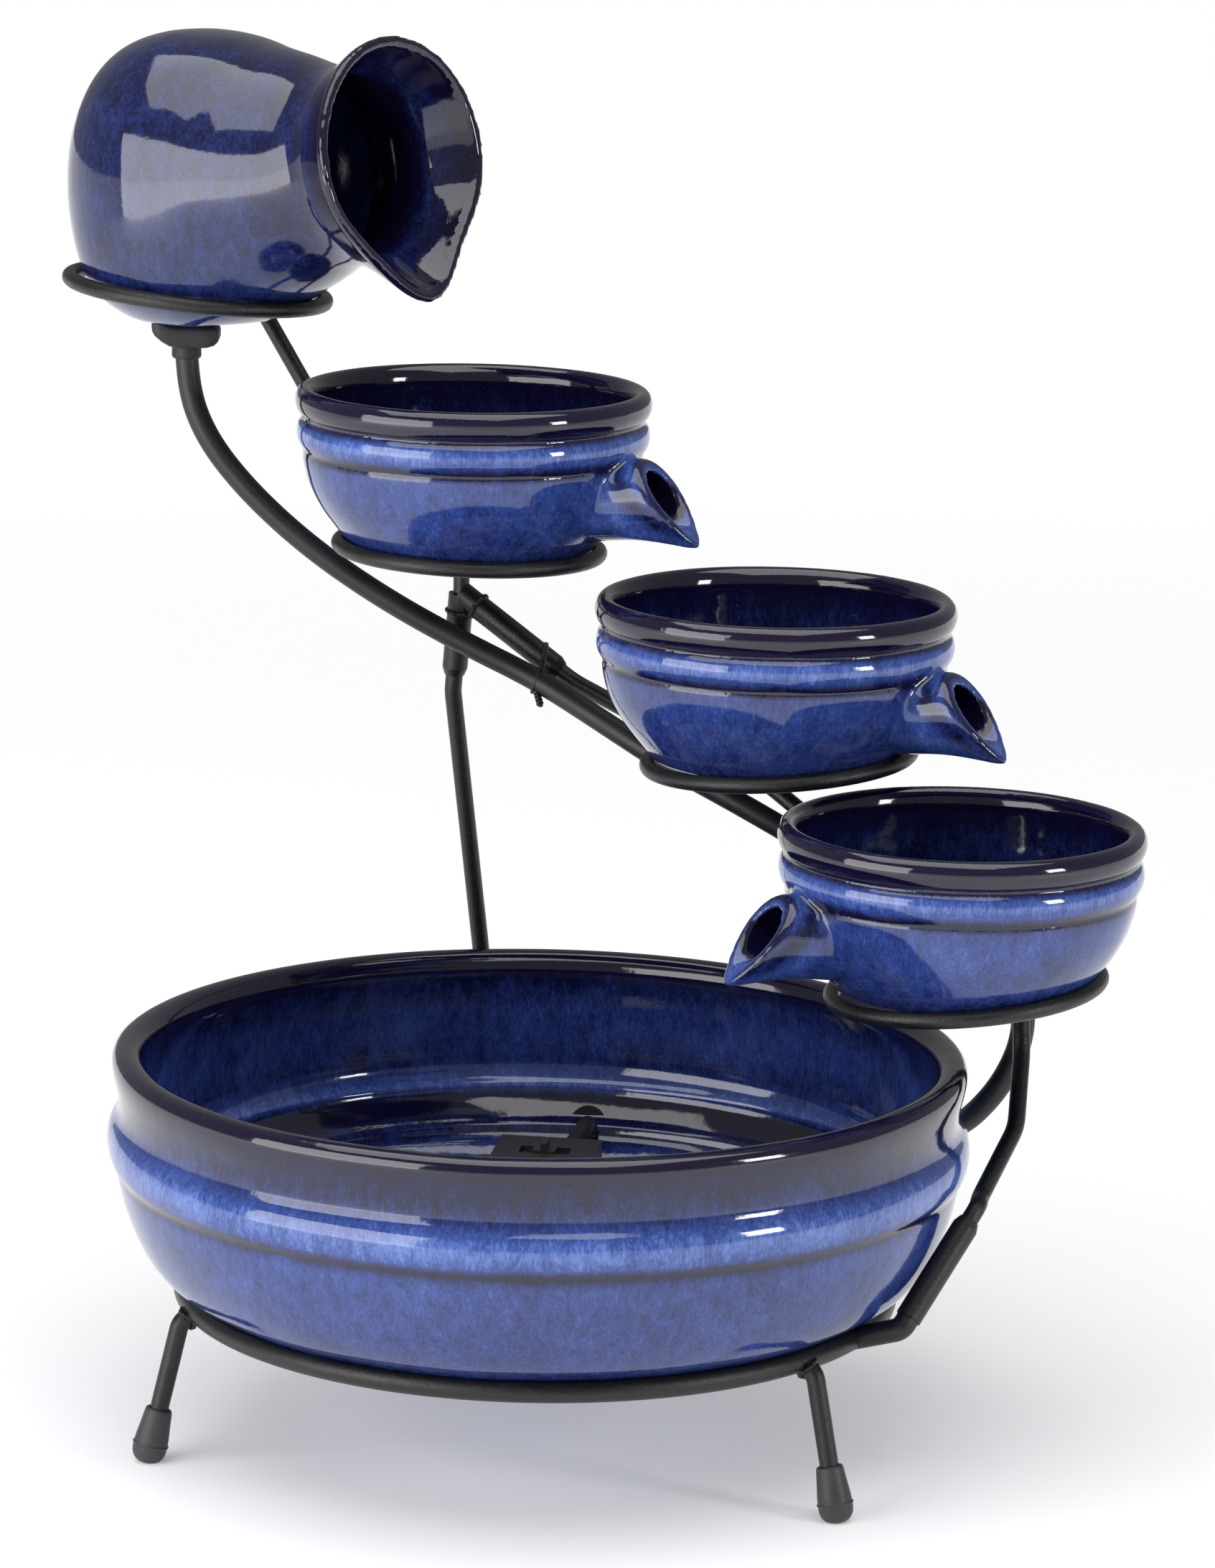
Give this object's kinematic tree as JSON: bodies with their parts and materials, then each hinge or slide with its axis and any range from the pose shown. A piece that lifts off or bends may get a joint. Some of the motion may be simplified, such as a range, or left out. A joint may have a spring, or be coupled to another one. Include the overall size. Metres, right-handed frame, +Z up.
{
  "type": "cascading bird bath",
  "caption": "Ceramic bird bath: a jug pours down a stepped flight of spouted bowls on a black rod stand into a round basin, fed by a hidden pump and hose.",
  "frame": {"origin": "centre of the whole object's footprint box, on the floor", "axes": "+Z up; the jug stands at -X and +Y (back left), the lowest bowl at +X; the front, from which it is shown, faces -Y"},
  "size_m": [0.4304, 0.3892, 0.5324],
  "materials": {
    "glaze": "glossy reactive cobalt-blue glaze with purple-brown edges and lighter blue mottling",
    "jug_glaze": "glossy dark navy glaze",
    "frame": "black powder coat, satin, fine sparkle",
    "cap_rubber": "dark grey matte rubber",
    "hose": "black, matte, soft",
    "black_rubber": "black, matte",
    "plastic": "black moulded",
    "plastic_blue": "white moulded, satin",
    "steel": "ground stainless pin"
  },
  "bodies": {
    "stand": {"basin": "glaze", "jug": "jug_glaze", "base_ring": "frame", "rear_leg": "frame", "left_leg": "frame", "right_leg": "frame", "upper_ring": "frame", "middle_ring": "frame", "lower_ring": "frame", "jug_ring": "frame", "upper_strut": "frame", "post_sleeve": "frame", "arm_sleeve": "frame", "arm_socket": "frame", "lower_arm": "frame", "rear_post": "frame", "post_socket": "frame", "rear_foot_cap": "cap_rubber", "left_foot_cap": "cap_rubber", "right_foot_cap": "cap_rubber", "water_hose": "hose", "hose_flange": "black_rubber", "hose_grommet": "black_rubber", "suction_feet": "black_rubber", "hose_tail": "plastic", "hose_tie": "plastic", "pump_body": "plastic", "cable_gland": "black_rubber", "impeller_shaft": "steel"},
    "upper_pot": {"upper_bowl": "glaze"},
    "middle_pot": {"middle_bowl": "glaze"},
    "lower_pot": {"lower_bowl": "glaze"},
    "locknut": {"spigot_locknut": "plastic"},
    "rotor": {"impeller": "plastic_blue"},
    "slider": {"flow_slider": "plastic"},
    "cover": {"intake_cover": "plastic"}
  },
  "joints": [
    {"name": "upper_bowl_turn", "type": "hinge", "parent": "stand", "child": "upper_pot", "pos_m": [-0.04707, 0.07764, 0.3308], "axis": [0, 0, 1], "range_deg": [-45, 45]},
    {"name": "middle_bowl_turn", "type": "hinge", "parent": "stand", "child": "middle_pot", "pos_m": [0.07343, 0.02764, 0.2586], "axis": [0, 0, 1], "range_deg": [-45, 45]},
    {"name": "lower_bowl_turn", "type": "hinge", "parent": "stand", "child": "lower_pot", "pos_m": [0.14443, -0.04236, 0.1852], "axis": [0, 0, 1], "range_deg": [-45, 45]},
    {"name": "locknut_turn", "type": "hinge", "parent": "stand", "child": "locknut", "pos_m": [-0.16457, 0.13264, 0.4205], "axis": [0, 0, 1], "continuous": true},
    {"name": "rotor_spin", "type": "hinge", "parent": "stand", "child": "rotor", "pos_m": [-0.01441, -0.0224, 0.0888], "axis": [0.1323, 0.9912, 0], "continuous": true},
    {"name": "flow_slide", "type": "slide", "parent": "stand", "child": "slider", "axis": [-0.9912, 0.1323, 0], "range_m": [-0.005, 0.005]},
    {"name": "cover_pull", "type": "slide", "parent": "stand", "child": "cover", "axis": [-0.1323, -0.9912, 0], "range_m": [0, 0.012]}
  ]
}
